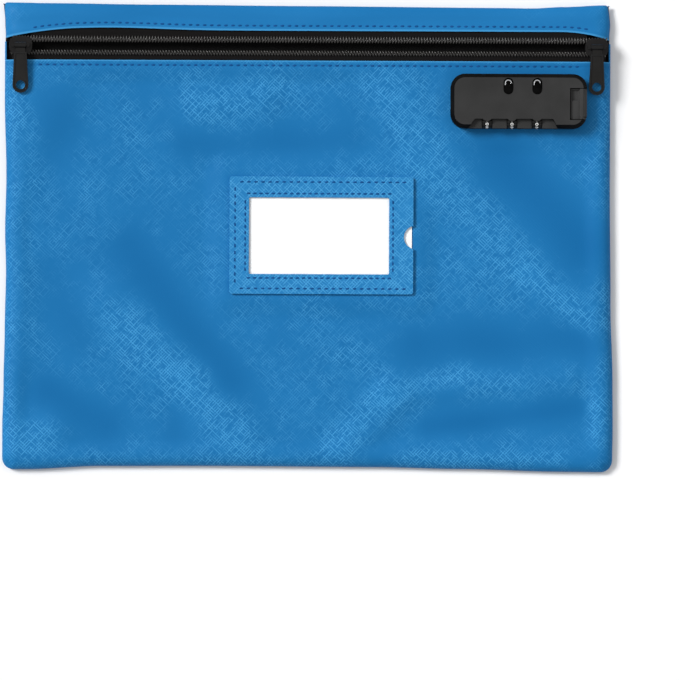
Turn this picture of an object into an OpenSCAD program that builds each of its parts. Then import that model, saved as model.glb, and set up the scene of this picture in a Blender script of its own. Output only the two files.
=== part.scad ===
// A zipped cash deposit bag with a combination lock, lying on its back.
// +X is to the right, +Y is towards the zip, +Z is out of the front.

/* [Bag] */
// Width of the bag
bag_w = 356; // [340:1:380]
// Height of the bag, from its bottom edge to its folded top edge
bag_h = 274; // [265:1:290]
// Thickness of the filled bag at its flat part
bag_t = 9; // [8.5:0.1:9.5]
// Thickness of the leather
leather_t = 1.2; // [0.9:0.1:1.3]

/* [Zip] */
// Distance of the zip's middle from the bag's top edge
zip_drop = 25.5; // [24:0.5:27]
// Distance of each coil row from the zip's middle
coil_offset = 3.95; // [3.8:0.05:4.2]
// Width of a coil row
coil_w = 3.25; // [3:0.05:3.4]
// Height of a coil row above its tape
coil_h = 1.8; // [1.4:0.1:1.8]
// Length of a slider along the zip
slider_l = 13.4; // [12:0.1:13.6]
// Width of a slider across the zip
slider_w = 10.5; // [9:0.1:11]
// Length of a pull from its hinge to its tip
pull_l = 28; // [24:0.1:28]
// Width of a pull at its tip
pull_w = 9.3; // [8:0.1:9.4]
// Diameter of the hole in a pull
pull_hole_d = 5.3; // [4:0.1:5.6]

/* [Card pocket] */
// Width of the pocket
pocket_w = 108; // [100:1:116]
// Height of the pocket
pocket_h = 69; // [64:1:76]
// Width of the window
window_w = 82.3; // [70:0.1:86]
// Height of the window
window_h = 45; // [40:0.5:50]
// Width of the card
card_w = 100; // [96:0.5:101]
// Height of the card
card_h = 57; // [52:0.5:59]

/* [Lock] */
// Length of the lock's case
lock_l = 80; // [78:0.5:82]
// Width of the lock's case
lock_w = 32; // [31:0.5:33]
// Height of the lock's case above the leather
lock_h = 11; // [10.9:0.1:12]
// Radius of a dial
dial_r = 3.9; // [3.7:0.05:3.9]
// Distance between two dials
dial_pitch = 14.6; // [13.5:0.1:15]

/* [Hidden] */
$fn = 48;
eps = 0.01;

// Colours
leather_blue = [0.15, 0.48, 0.73];
thread_blue = [0.08, 0.33, 0.55];
zip_black = [0.07, 0.07, 0.07];
lock_black = [0.16, 0.16, 0.16];
steel = [0.75, 0.76, 0.78];

// The bag's rolled edge: distance in from the edge, and height
roll = [[1.6, 0], [0.5, 0.5], [0, 1.6], [0, 3.2], [1.4, 6.2], [5.5, bag_t - 0.5], [10, bag_t]];
seam_z = 2.4;
corner_r = 8;

// The zip's mouth
zip_y = bag_h / 2 - zip_drop;
panel_edge_y = zip_y - 8.3;
band_edge_y = zip_y + 9.2;
band_back_y = band_edge_y - 6.7;
band_dip = 4.7;
dip_left = 45;
dip_right = 30;
tape_t = 0.6;
tape_z = bag_t - leather_t - tape_t;
tape_inner = 3.1;
tape_outer = 14.5;
tape_end = bag_w / 2 - leather_t;
tape_shown = band_edge_y - band_dip - zip_y;
tape_hidden_x = bag_w / 2 - 12;
coil_end = bag_w / 2 - 2.4;

// Sliders and pulls
slider_x = bag_w / 2 - 8.8;
plate_t = 0.9;
slider_r = 4.2;
slider_top_z = tape_z + tape_t + coil_h + 0.3;
slider_low_z = tape_z - 0.3 - plate_t;
bar_r = 0.95;
bar_z = slider_top_z + plate_t + 2.1;
knuckle_r = 1.8;
knuckle_l = 6.6;
pull_t = 1.6;
pull_slope = 5.4;
pull_round_y = pull_l - pull_w / 2;
pull_top_w = 7.4;
rim_t = 0.4;
rim_w = 1;
post_w = 3.8;
post_l = 3.4;
post_end = 1.8;
leg_t = 1.8;
leg_w = 2.2;
pull_neck_w = 5.6;
pull_neck_l = 5;
pull_shoulder_y = 4;

// Stitches
stitch_l = 3;
stitch_w = 0.6;
stitch_t = 0.2;
stitch_pitch = 4.15;
window_stitch_pitch = 3.6;

// The card pocket
pocket_x = 7.9;
pocket_y = 0.5;
window_x = 6.5;
window_y = 0.2;
pocket_lip = 4.5;
pocket_t = 1;
pocket_z = bag_t + 1;
film_t = 0.3;
film_edge = 3;
card_x = 11;
card_t = 0.4;
card_z = bag_t + 0.15;
thumb_r = 6.9;
thumb_depth = 5.5;

// The lock, with every place measured from its middle on the leather
lock_x = 123.3;
lock_y = 79.5;
lock_r = 8.5;
lock_wall = 1.5;
lock_roof = 1.6;
lock_bevel = 2.2;
base_t = 1.2;
base_gap = 0.2;
backing_l = 76;
backing_w = 28;
backing_t = 1.8;
screw_r = 1.2;
screw_head_r = 2.2;
screw_head_t = 0.9;
boss_r = 2.4;
screw_places = [[-34.5, 10.8], [-34.5, -10.8], [34.5, 11.2], [24.2, -11.3]];

// Dials
dial_w = 5.4;
dial_x = [for (i = [-1:1]) -4 + i * dial_pitch];
dial_y = -12.2;
dial_z = 5.5;
sleeve_r = 2.5;
sleeve_bore_r = 1.26;
shaft_r = 1.2;
shaft_from = -27;
shaft_to = 19.5;
lug_t = 2;
trough_low = [-30.3, 23.2];
trough_high = [-25.2, 19.7];
trough_w = 5.5;
trough_z = 8.2;
trough_floor_t = 1;
dial_gap = 0.35;
hood_r = 3.2;
hood_y = -8.6;

// Latch
slot_x = [-6.2, 10.7];
slot_y = 8.7;
slot_w = 5.75;
slot_l = 9.6;
hook_r = 1.9;
wire_r = 0.75;
hook_y = 10.6;
hook_z = 7.8;
hook_leg = 0.8;
bar_low = 1.4;
bar_t = 1.4;
bar_from = -12;
bar_y = [3, 8];
bar_gap = 0.3;
foot_w = 2.8;
foot_y = hook_y - hook_leg;
rib_t = 1.2;
rib_h = 1.6;
rib_l = 34;
wall_h = 6.4;
lug_w = 4.8;
spring_l = 7.9;
spring_r = 1;
stop_t = 1.5;
stop_h = 3;
button_y = [-10.6, 7.4];
button_from = 30.2;
button_step = 35.8;
button_gap = 0.3;
button_travel = 3.2;

// ---- Shared shapes ----

function unit(v) = v / norm(v);
function inward(a, b) = let (d = unit(b - a)) [-d[1], d[0]];

// A closed outline, anticlockwise, moved inwards by t on every side
function inset(points, t) = [
    for (i = [0:len(points) - 1])
        let (
            n = len(points),
            before = inward(points[(i + n - 1) % n], points[i]),
            after = inward(points[i], points[(i + 1) % n])
        )
        points[i] + t * (before + after) / (1 + before * after)
];

// The bag's cross-section: flat below, with a rolled edge at each side
function section(half) = concat(
    [for (p = roll) [half - p[0], p[1]]],
    [for (i = [len(roll) - 1:-1:0]) [roll[i][0] - half, roll[i][1]]]
);

module along_y(points, length) {
    rotate([90, 0, 0])
        linear_extrude(length, center = true)
            polygon(points);
}

module along_x(points, length) {
    rotate([90, 0, 90])
        linear_extrude(length, center = true)
            polygon(points);
}

module rounded_outline(w, h, r) {
    square([w - 2 * r, h], center = true);
    square([w, h - 2 * r], center = true);
    for (x = [-1, 1], y = [-1, 1])
        translate([x * (w / 2 - r), y * (h / 2 - r)])
            circle(r);
}

module rounded_plate(w, h, r, t) {
    linear_extrude(t)
        rounded_outline(w, h, r);
}

// The bag's outer form, or the form that lies t inside it
module bag_form(t) {
    intersection() {
        along_y(inset(section(bag_w / 2), t), bag_h);
        along_x(inset(section(bag_h / 2), t), bag_w);
        translate([0, 0, -1])
            rounded_plate(bag_w - 2 * t, bag_h - 2 * t, corner_r - t, bag_t + 2);
    }
}

module bag_skin() {
    difference() {
        bag_form(0);
        bag_form(leather_t);
    }
}

// Everything between two heights and two places up the bag
module slab(y0, y1, z0, z1) {
    translate([-bag_w / 2 - 1, y0, z0])
        cube([bag_w + 2, y1 - y0, z1 - z0]);
}

// The band's lower edge, which dips towards both ends of the zip
function band_edge(x) =
    let (
        left = max(0, (dip_left - bag_w / 2 - x) / dip_left),
        right = max(0, (x - bag_w / 2 + dip_right) / dip_right)
    )
    band_edge_y - band_dip * (left * left + right * right);

function band_stations() = concat(
    [for (i = [0:8]) -bag_w / 2 + i * dip_left / 8],
    [for (i = [0:6]) bag_w / 2 - dip_right + i * dip_right / 6]
);

module above_band_edge() {
    edge = [for (x = band_stations()) [x, band_edge(x)]];
    translate([0, 0, seam_z])
        linear_extrude(bag_t)
            polygon(concat(
                [[-bag_w / 2 - 1, edge[0][1]]],
                edge,
                [
                    [bag_w / 2 + 1, edge[len(edge) - 1][1]],
                    [bag_w / 2 + 1, bag_h / 2 + 1],
                    [-bag_w / 2 - 1, bag_h / 2 + 1]
                ]
            ));
}

module at_lock(z = bag_t) {
    translate([lock_x, lock_y, z])
        children();
}

module at_screws() {
    for (p = screw_places)
        translate([p[0], p[1], 0])
            children();
}

// ---- Bag ----

module back_panel() {
    color(leather_blue)
        intersection() {
            bag_skin();
            slab(-bag_h, band_back_y, -1, seam_z);
        }
}

module front_panel() {
    color(leather_blue)
        difference() {
            intersection() {
                bag_skin();
                slab(-bag_h, panel_edge_y, seam_z, bag_t + 1);
            }
            at_lock(0)
                at_screws()
                    cylinder(h = bag_t + 1, r = screw_r + 0.2);
        }
}

module top_band() {
    color(leather_blue)
        intersection() {
            bag_skin();
            union() {
                above_band_edge();
                slab(band_back_y, bag_h, -1, seam_z);
            }
        }
}

// ---- Zip ----

// One tape: a strip beside the zip's middle, sewn in under the leather
module zip_tape(side) {
    shown = side > 0 ? tape_shown : zip_y - panel_edge_y;
    color(zip_black)
        translate([0, zip_y, tape_z])
            mirror([0, side > 0 ? 0 : 1, 0]) {
                translate([-tape_end, tape_inner, 0])
                    cube([2 * tape_end, shown - tape_inner, tape_t]);
                translate([-tape_hidden_x, tape_inner, 0])
                    cube([2 * tape_hidden_x, tape_outer - tape_inner, tape_t]);
            }
}

module zip_tape_upper() {
    zip_tape(1);
}

module zip_tape_lower() {
    zip_tape(-1);
}

// The tape's end, turned down at a side of the bag to close the mouth there
module zip_end(side) {
    low_z = seam_z - 0.2;
    color(zip_black)
        translate([side * (tape_end - tape_t / 2) - tape_t / 2, panel_edge_y, low_z])
            cube([tape_t, zip_y + tape_shown - panel_edge_y, tape_z - low_z]);
}

module zip_end_left() {
    zip_end(-1);
}

module zip_end_right() {
    zip_end(1);
}

module zip_coil(side) {
    section = [
        [-coil_w / 2, 0], [coil_w / 2, 0], [coil_w / 2, coil_h * 0.55],
        [coil_w / 4, coil_h], [-coil_w / 4, coil_h], [-coil_w / 2, coil_h * 0.55]
    ];
    color(zip_black)
        translate([0, zip_y + side * coil_offset, tape_z + tape_t])
            along_x(section, 2 * coil_end);
}

module zip_coil_upper() {
    zip_coil(1);
}

module zip_coil_lower() {
    zip_coil(-1);
}

// A straight row of stitches with its middle at the origin
module stitch_row(length, pitch) {
    count = floor(length / pitch);
    for (i = [0:count - 1])
        translate([(i - (count - 1) / 2) * pitch - stitch_l / 2, -stitch_w / 2, 0])
            cube([stitch_l, stitch_w, stitch_t]);
}

module thread_band() {
    color(thread_blue)
        translate([0, band_edge_y + 2.9, bag_t])
            stitch_row(bag_w - dip_left * 2, stitch_pitch);
}

module thread_panel() {
    color(thread_blue)
        translate([0, panel_edge_y - 2.9, bag_t])
            stitch_row(bag_w - 24, stitch_pitch);
}

// ---- Sliders and pulls ----

// A slider with its wide end towards +X: two plates, the post that parts
// the rows, and a bridge with the bar that the pull hangs on
module slider() {
    color(zip_black) {
        translate([0, 0, slider_low_z])
            rounded_plate(slider_l, slider_w, slider_r, plate_t);
        translate([0, 0, slider_top_z])
            rounded_plate(slider_l, slider_w, slider_r, plate_t);
        translate([slider_l / 2 - post_end - post_l, -post_w / 2, slider_low_z + plate_t - eps])
            cube([post_l, post_w, slider_top_z - slider_low_z - plate_t + 2 * eps]);
        for (end = [-1, 1])
            translate([end * (knuckle_l + leg_t + 0.6) / 2 - leg_t / 2, -leg_w / 2, slider_top_z + plate_t - eps])
                cube([leg_t, leg_w, bar_z - slider_top_z - plate_t + bar_r * 0.9]);
        translate([-knuckle_l / 2 - 1, 0, bar_z])
            rotate([0, 90, 0])
                cylinder(h = knuckle_l + 2, r = bar_r);
    }
}

module slider_left() {
    translate([-slider_x, zip_y, 0])
        slider();
}

module slider_right() {
    translate([slider_x, zip_y, 0])
        mirror([1, 0, 0])
            slider();
}

// A pull's blade seen from above, widening to a round tip, drawn in by t
module pull_outline(t) {
    round_r = pull_w / 2 - t;
    translate([0, -pull_round_y])
        circle(round_r);
    polygon([
        [-pull_top_w / 2 + t, -pull_shoulder_y - t], [-round_r, -pull_round_y],
        [round_r, -pull_round_y], [pull_top_w / 2 - t, -pull_shoulder_y - t]
    ]);
}

// A pull hanging towards -Y from its hinge at the origin
module pull() {
    color(zip_black)
        rotate([pull_slope, 0, 0])
            difference() {
                union() {
                    rotate([0, 90, 0])
                        cylinder(h = knuckle_l, r = knuckle_r, center = true);
                    translate([-pull_neck_w / 2, -pull_neck_l - 0.5, -pull_t / 2])
                        cube([pull_neck_w, pull_neck_l, pull_t]);
                    translate([0, 0, -pull_t / 2])
                        linear_extrude(pull_t)
                            pull_outline(0);
                    translate([0, 0, pull_t / 2 - eps])
                        linear_extrude(rim_t)
                            difference() {
                                pull_outline(0);
                                pull_outline(rim_w);
                            }
                    translate([0, -pull_round_y, pull_t / 2 - eps])
                        cylinder(h = rim_t, r = pull_hole_d / 2 + 0.8);
                }
                rotate([0, 90, 0])
                    cylinder(h = knuckle_l + 1, r = bar_r + 0.07, center = true);
                translate([0, -pull_round_y, -pull_t])
                    cylinder(h = 3 * pull_t, r = pull_hole_d / 2);
            }
}

module pull_left() {
    translate([-slider_x, zip_y, bar_z])
        pull();
}

module pull_right() {
    translate([slider_x, zip_y, bar_z])
        pull();
}

// ---- Card pocket ----

// A stitched plate with a lip at the left, top and bottom that stands on the
// leather, a window, and a half-round notch for the thumb at the open right side
module pocket_frame() {
    color(leather_blue)
        difference() {
            translate([pocket_x, pocket_y, bag_t])
                rounded_plate(pocket_w, pocket_h, 1.5, pocket_z - bag_t + pocket_t);
            translate([pocket_x - pocket_w / 2 + pocket_lip, pocket_y - pocket_h / 2 + pocket_lip, bag_t - 1])
                cube([pocket_w, pocket_h - 2 * pocket_lip, pocket_z - bag_t + 1]);
            translate([window_x, window_y, bag_t + leather_t / 2])
                rounded_plate(window_w, window_h, 0.8, 4);
            translate([pocket_x + pocket_w / 2 + thumb_r - thumb_depth, pocket_y - 1, bag_t - 1])
                cylinder(h = 4, r = thumb_r);
        }
}

module clear_window() {
    color([0.9, 0.95, 1, 0.4])
        translate([window_x, window_y, pocket_z - film_t])
            rounded_plate(window_w + 2 * film_edge, window_h + 2 * film_edge, 1, film_t);
}

module name_card() {
    color("white")
        translate([card_x, window_y, card_z])
            rounded_plate(card_w, card_h, 1.5, card_t);
}

module thread_pocket() {
    inset_by = 3.2;
    color(thread_blue)
        translate([pocket_x, pocket_y, pocket_z + pocket_t]) {
            for (side = [-1, 1])
                translate([0, side * (pocket_h / 2 - inset_by), 0])
                    stitch_row(pocket_w - 2 * inset_by, stitch_pitch);
            translate([-pocket_w / 2 + inset_by, 0, 0])
                rotate(90)
                    stitch_row(pocket_h - 2 * inset_by - 2, stitch_pitch);
        }
}

module thread_window() {
    out_by = 2.2;
    color(thread_blue)
        translate([window_x, window_y, pocket_z + pocket_t]) {
            for (side = [-1, 1])
                translate([0, side * (window_h / 2 + out_by), 0])
                    stitch_row(window_w + 2 * out_by, window_stitch_pitch);
            for (side = [-1, 1])
                translate([side * (window_w / 2 + out_by), 0, 0])
                    rotate(90)
                        stitch_row(window_h, window_stitch_pitch);
        }
}

// ---- Lock: case, base and fastenings ----

// A block with round corners and a bevel all round its top
module bevelled_block(l, w, r, h, bevel) {
    low = h - bevel;
    rounded_plate(l, w, r, low + eps);
    translate([0, 0, low]) {
        for (x = [-1, 1], y = [-1, 1])
            translate([x * (l / 2 - r), y * (w / 2 - r), 0])
                cylinder(h = bevel, r1 = r, r2 = r - bevel);
        along_y(bevel_section(l, bevel), w - 2 * r);
        along_x(bevel_section(w, bevel), l - 2 * r);
    }
}

function bevel_section(width, bevel) = [
    [-width / 2, 0], [width / 2, 0], [width / 2 - bevel, bevel], [bevel - width / 2, bevel]
];

function ease(t) = t * t * (3 - 2 * t);

// The trough along the lower edge that the dials stand in, seen from above,
// with both ends running out in a soft curve
module trough_outline(wall) {
    steps = 6;
    low = -lock_w / 2 - (wall > 0 ? 0 : 1);
    polygon(concat(
        [[trough_low[0] - wall, low], [trough_low[1] + wall, low]],
        [for (i = [0:steps]) [
            trough_low[1] + wall + (trough_high[1] - trough_low[1]) * i / steps,
            -lock_w / 2 + ease(i / steps) * (trough_w + wall) + eps
        ]],
        [for (i = [steps:-1:0]) [
            trough_low[0] - wall + (trough_high[0] - trough_low[0]) * i / steps,
            -lock_w / 2 + ease(i / steps) * (trough_w + wall) + eps
        ]]
    ));
}

module lock_cavity() {
    difference() {
        translate([0, 0, -1])
            rounded_plate(lock_l - 2 * lock_wall, lock_w - 2 * lock_wall, lock_r - lock_wall,
                lock_h - lock_roof + 1);
        translate([0, 0, trough_z - trough_floor_t])
            linear_extrude(lock_h)
                trough_outline(trough_floor_t);
        at_screws()
            translate([0, 0, base_t])
                cylinder(h = lock_h, r = boss_r);
    }
}

// A slot with round ends, seen from above
module obround(w, l) {
    square([w, l - w], center = true);
    for (end = [-1, 1])
        translate([0, end * (l - w) / 2])
            circle(w / 2);
}

module lock_case() {
    color(lock_black)
        at_lock()
            difference() {
                bevelled_block(lock_l, lock_w, lock_r, lock_h, lock_bevel);
                lock_cavity();
                translate([0, 0, trough_z])
                    linear_extrude(lock_h)
                        difference() {
                            trough_outline(0);
                            for (x = dial_x)
                                translate([x, hood_y])
                                    circle(hood_r);
                        }
                for (x = dial_x)
                    translate([x - dial_w / 2 - dial_gap, -lock_w, dial_z - dial_r - dial_gap])
                        cube([dial_w + 2 * dial_gap, lock_w + dial_y + dial_r + dial_gap,
                        lock_h - lock_roof - dial_z + dial_r + dial_gap]);
                for (x = slot_x)
                    translate([x, slot_y, lock_h / 2])
                        linear_extrude(lock_h)
                            obround(slot_w, slot_l);
                translate([button_step - button_travel - button_gap, button_y[0] - button_gap, base_t])
                    cube([lock_l, button_y[1] - button_y[0] + 2 * button_gap, lock_h]);
                translate([button_from - button_gap, button_y[0] - button_gap, lock_h / 2])
                    cube([lock_l, button_y[1] - button_y[0] + 2 * button_gap, lock_h]);
                at_screws()
                    translate([0, 0, -1])
                        cylinder(h = lock_h - lock_roof, r = screw_r + 0.05);
            }
}

// The base, with lugs for the dials' shaft, a wall behind the dials, two
// ribs that guide the latch bar, and a stop for its spring
module lock_base() {
    color(lock_black)
        at_lock()
            difference() {
                union() {
                    rounded_plate(lock_l - 2 * lock_wall - 2 * base_gap, lock_w - 2 * lock_wall - 2 * base_gap,
                        lock_r - lock_wall - base_gap, base_t);
                    for (x = [shaft_from, shaft_to - lug_t])
                        translate([x, dial_y - lug_w / 2, base_t - eps])
                            cube([lug_t, lug_w, dial_z - base_t]);
                    translate([shaft_from, dial_y + dial_r + rib_t, base_t - eps])
                        cube([shaft_to - shaft_from, rib_t, wall_h]);
                    for (y = [bar_y[0] - bar_gap - rib_t, foot_y + foot_w / 2 + bar_gap])
                        translate([bar_from - 2, y, base_t - eps])
                            cube([rib_l, rib_t, rib_h]);
                    translate([bar_from - spring_l - 0.1 - stop_t, bar_y[0], base_t - eps])
                        cube([stop_t, bar_y[1] - bar_y[0], stop_h]);
                }
                translate([shaft_from - 1, dial_y, dial_z])
                    rotate([0, 90, 0])
                        cylinder(h = shaft_to - shaft_from + 2, r = shaft_r);
                at_screws()
                    translate([0, 0, -1])
                        cylinder(h = base_t + 2, r = screw_r + 0.2);
            }
}

module lock_backing_plate() {
    color(lock_black)
        at_lock(bag_t - leather_t - backing_t)
            difference() {
                rounded_plate(backing_l, backing_w, 5, backing_t);
                at_screws()
                    translate([0, 0, -1])
                        cylinder(h = backing_t + 2, r = screw_r + 0.2);
            }
}

module lock_screws() {
    low = bag_t - leather_t - backing_t;
    color(steel)
        at_lock(0)
            at_screws() {
                translate([0, 0, low - screw_head_t])
                    difference() {
                        cylinder(h = screw_head_t, r = screw_head_r);
                        for (turn = [0, 90])
                            rotate(turn)
                                translate([-1.3, -0.3, -eps])
                                    cube([2.6, 0.6, 0.5]);
                    }
                translate([0, 0, low - eps])
                    cylinder(h = bag_t + base_t + 4.5 - low, r = screw_r);
            }
}

// ---- Lock: dials ----

module dial_shaft() {
    color(steel)
        at_lock()
            translate([shaft_from, dial_y, dial_z])
                rotate([0, 90, 0])
                    cylinder(h = shaft_to - shaft_from, r = shaft_r);
}

// A dial with ten finger grooves, on its axis along X
module dial(n) {
    grooves = 10;
    color(lock_black)
        at_lock()
            translate([dial_x[n], dial_y, dial_z])
                rotate([0, 90, 0])
                    difference() {
                        cylinder(h = dial_w, r = dial_r, center = true);
                        cylinder(h = dial_w + 1, r = sleeve_r, center = true);
                        for (i = [0:grooves - 1])
                            rotate((i + 0.5) * 360 / grooves)
                                translate([dial_r + 0.25, 0, 0])
                                    cylinder(h = dial_w + 1, r = 0.6, center = true, $fn = 24);
                    }
}

module dial_1() {
    dial(0);
}

module dial_2() {
    dial(1);
}

module dial_3() {
    dial(2);
}

// The sleeve inside a dial, with the gate that the latch reads cut along it
module dial_sleeve(n) {
    color([0.85, 0.7, 0.35])
        at_lock()
            translate([dial_x[n], dial_y, dial_z])
                rotate([0, 90, 0])
                    difference() {
                        cylinder(h = dial_w, r = sleeve_r, center = true);
                        cylinder(h = dial_w + 1, r = sleeve_bore_r, center = true);
                        translate([sleeve_r - 0.6, -0.6, -dial_w])
                            cube([2, 1.2, 2 * dial_w]);
                    }
}

module dial_sleeve_1() {
    dial_sleeve(0);
}

module dial_sleeve_2() {
    dial_sleeve(1);
}

module dial_sleeve_3() {
    dial_sleeve(2);
}

// A leaf behind the dials with a rounded finger for each
module detent_spring() {
    leaf_t = 0.35;
    leaf_h = 3.6;
    finger_r = 0.5;
    finger_w = 2;
    color(steel)
        at_lock()
            translate([0, dial_y + dial_r + rib_t - leaf_t, dial_z]) {
                translate([shaft_from + 1, 0, -leaf_h / 2])
                    cube([shaft_to - shaft_from - 2, leaf_t, leaf_h]);
                for (x = dial_x)
                    translate([x - finger_w / 2, -0.2, 0])
                        rotate([0, 90, 0])
                            cylinder(h = finger_w, r = finger_r, $fn = 32);
            }
}

// ---- Lock: latch ----

// A wire hook that opens towards -Y, with its leg bent down to the bar
module hook() {
    rotate_extrude(angle = 180)
        translate([hook_r, 0])
            circle(wire_r, $fn = 24);
    translate([-hook_r, 0, 0])
        rotate([90, 0, 0])
            cylinder(h = hook_leg, r = wire_r, $fn = 24);
    translate([-hook_r, -hook_leg, 0])
        sphere(wire_r, $fn = 24);
    translate([-hook_r, -hook_leg, bar_low + bar_t - hook_z - 0.1])
        cylinder(h = hook_z - bar_low - bar_t + 0.1, r = wire_r, $fn = 24);
}

module latch_bar() {
    color(steel)
        at_lock() {
            translate([bar_from, bar_y[0], bar_low])
                cube([button_from - bar_from, bar_y[1] - bar_y[0], bar_t]);
            for (x = slot_x) {
                translate([x - hook_r - foot_w / 2, bar_y[0], bar_low])
                    cube([foot_w, foot_y + foot_w / 2 - bar_y[0], bar_t]);
                translate([x, hook_y, hook_z])
                    hook();
            }
        }
}

// Rings of wire between the bar's end and the base's stop
module latch_spring() {
    rings = 6;
    wire = 0.3;
    color(steel)
        at_lock()
            for (i = [0:rings - 1])
                translate([bar_from - spring_l + wire + i * (spring_l - 2 * wire) / (rings - 1),
                    (bar_y[0] + bar_y[1]) / 2, bar_low + spring_r + wire])
                    rotate([0, 90, 0])
                        rotate_extrude($fn = 32)
                            translate([spring_r, 0])
                                circle(wire, $fn = 16);
}

// The slide at the lock's right end: a low neck that runs in under the roof,
// and an end that carries on the case's bevel
module release_button() {
    color(lock_black)
        at_lock()
            difference() {
                union() {
                    translate([button_from, button_y[0], bar_low])
                        cube([button_step - button_from + 1, button_y[1] - button_y[0],
                            lock_h - lock_roof - 0.2 - bar_low]);
                    intersection() {
                        bevelled_block(lock_l - 0.2, lock_w, lock_r, lock_h - 0.1, lock_bevel);
                        translate([button_step, button_y[0], bar_low])
                            cube([lock_l, button_y[1] - button_y[0], lock_h]);
                    }
                }
                translate([button_from + 0.8, 0.6, lock_h - lock_roof - 1.4])
                    cube([button_step - button_from - 1.6, button_y[1] - 1.4, 3]);
            }
}

back_panel();
front_panel();
top_band();
zip_tape_upper();
zip_tape_lower();
zip_end_left();
zip_end_right();
zip_coil_upper();
zip_coil_lower();
thread_band();
thread_panel();
slider_left();
slider_right();
pull_left();
pull_right();
pocket_frame();
clear_window();
name_card();
thread_pocket();
thread_window();
lock_case();
lock_base();
lock_backing_plate();
lock_screws();
dial_shaft();
dial_1();
dial_2();
dial_3();
dial_sleeve_1();
dial_sleeve_2();
dial_sleeve_3();
detent_spring();
latch_bar();
latch_spring();
release_button();
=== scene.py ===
import bpy
import math
from mathutils import Matrix, Vector


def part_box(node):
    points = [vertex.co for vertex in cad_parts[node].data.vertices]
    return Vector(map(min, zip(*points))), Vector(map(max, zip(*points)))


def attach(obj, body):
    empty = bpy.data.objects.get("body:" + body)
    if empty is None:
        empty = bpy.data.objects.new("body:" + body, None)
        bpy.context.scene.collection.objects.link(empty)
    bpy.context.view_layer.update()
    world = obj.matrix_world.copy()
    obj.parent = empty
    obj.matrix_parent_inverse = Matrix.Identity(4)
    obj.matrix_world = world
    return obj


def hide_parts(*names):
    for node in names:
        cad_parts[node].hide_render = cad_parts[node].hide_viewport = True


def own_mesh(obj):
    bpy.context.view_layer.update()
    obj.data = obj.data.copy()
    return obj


mm = 0.001


# ---------- helpers ----------

def deselectAll():
    if bpy.context.object and bpy.context.object.mode != "OBJECT":
        bpy.ops.object.mode_set(mode="OBJECT")
    bpy.ops.object.select_all(action="DESELECT")


def pick(piece):
    deselectAll()
    piece.select_set(True)
    bpy.context.view_layer.objects.active = piece


def applyAll(piece):
    pick(piece)
    for modifier in list(piece.modifiers):
        bpy.ops.object.modifier_apply(modifier=modifier.name)


def dress(piece, *materials):
    piece.data.materials.clear()
    for material in materials:
        piece.data.materials.append(material)


def dressNode(node, material):
    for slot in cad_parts[node].material_slots:
        slot.material = material


def smoothEdges(piece, degrees):
    pick(piece)
    bpy.ops.object.shade_smooth_by_angle(angle=math.radians(degrees))


def joinAll(pieces, name):
    deselectAll()
    for piece in pieces:
        piece.select_set(True)
    bpy.context.view_layer.objects.active = pieces[0]
    if len(pieces) > 1:
        bpy.ops.object.join()
    pieces[0].name = name
    return pieces[0]


def makeSheet(name, columns, rows, place, toneAndPaintedShade=None):
    deselectAll()
    bpy.ops.mesh.primitive_grid_add(x_subdivisions=columns, y_subdivisions=rows, size=2)
    sheet = bpy.context.object
    sheet.name = name
    # one attribute holds painted light and shade for the leather, the other marks the folded edge at the
    # mouth for a painted highlight
    shade = sheet.data.attributes.new("toneAndPaintedShade", "FLOAT", "POINT") if toneAndPaintedShade else None
    paintedEdgeHighlight = sheet.data.attributes.new("paintedEdgeHighlight", "FLOAT", "POINT") if toneAndPaintedShade else None
    for index, vertex in enumerate(sheet.data.vertices):
        x, y, z = place(vertex.co.x, vertex.co.y)
        if toneAndPaintedShade:
            shade.data[index].value = toneAndPaintedShade(x, y)
            paintedEdgeHighlight.data[index].value = 1.0 if nearMouth(x, y, vertex.co.y) else 0.0
        vertex.co = (x * mm, y * mm, z * mm)
    return sheet


def thicken(sheet, thickness, rounding=0.0):
    wall = sheet.modifiers.new("wall", "SOLIDIFY")
    wall.thickness = thickness * mm
    wall.offset = -1
    wall.material_offset = 1
    wall.material_offset_rim = 0
    if rounding:
        edge = sheet.modifiers.new("edge", "BEVEL")
        edge.width = rounding * mm
        edge.segments = 3
        edge.limit_method = "ANGLE"
        edge.angle_limit = math.radians(60)
    applyAll(sheet)
    smoothEdges(sheet, 50)


def softCopy(node, width, segments=2):
    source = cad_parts[node]
    piece = bpy.data.objects.new(node + "_finished", source.data.copy())
    bpy.context.scene.collection.objects.link(piece)
    pick(piece)
    bpy.ops.object.mode_set(mode="EDIT")
    bpy.ops.mesh.select_all(action="SELECT")
    bpy.ops.mesh.remove_doubles(threshold=0.00002)
    bpy.ops.mesh.dissolve_limited(angle_limit=math.radians(1.5))
    bpy.ops.object.mode_set(mode="OBJECT")
    if width:
        edge = piece.modifiers.new("edge", "BEVEL")
        edge.width = width * mm
        edge.segments = segments
        edge.limit_method = "ANGLE"
        edge.angle_limit = math.radians(32)
        applyAll(piece)
    smoothEdges(piece, 40)
    piece.modifiers.new("flatFaces", "WEIGHTED_NORMAL").keep_sharp = True
    applyAll(piece)
    return piece


def ease(t):
    t = min(max(t, 0.0), 1.0)
    return t * t * (3 - 2 * t)


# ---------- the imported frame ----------

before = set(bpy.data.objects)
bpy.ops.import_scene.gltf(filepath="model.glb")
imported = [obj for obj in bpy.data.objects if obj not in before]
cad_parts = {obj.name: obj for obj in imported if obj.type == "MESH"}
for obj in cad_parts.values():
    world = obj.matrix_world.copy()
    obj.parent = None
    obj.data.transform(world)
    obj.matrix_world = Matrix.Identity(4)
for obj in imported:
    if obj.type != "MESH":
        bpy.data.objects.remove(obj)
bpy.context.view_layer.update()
print("frame loaded,", len(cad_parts), "nodes")


# ---------- materials ----------

def newMaterial(name):
    material = bpy.data.materials.new(name)
    material.use_nodes = True
    material.node_tree.nodes.clear()
    return material, material.node_tree


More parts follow.
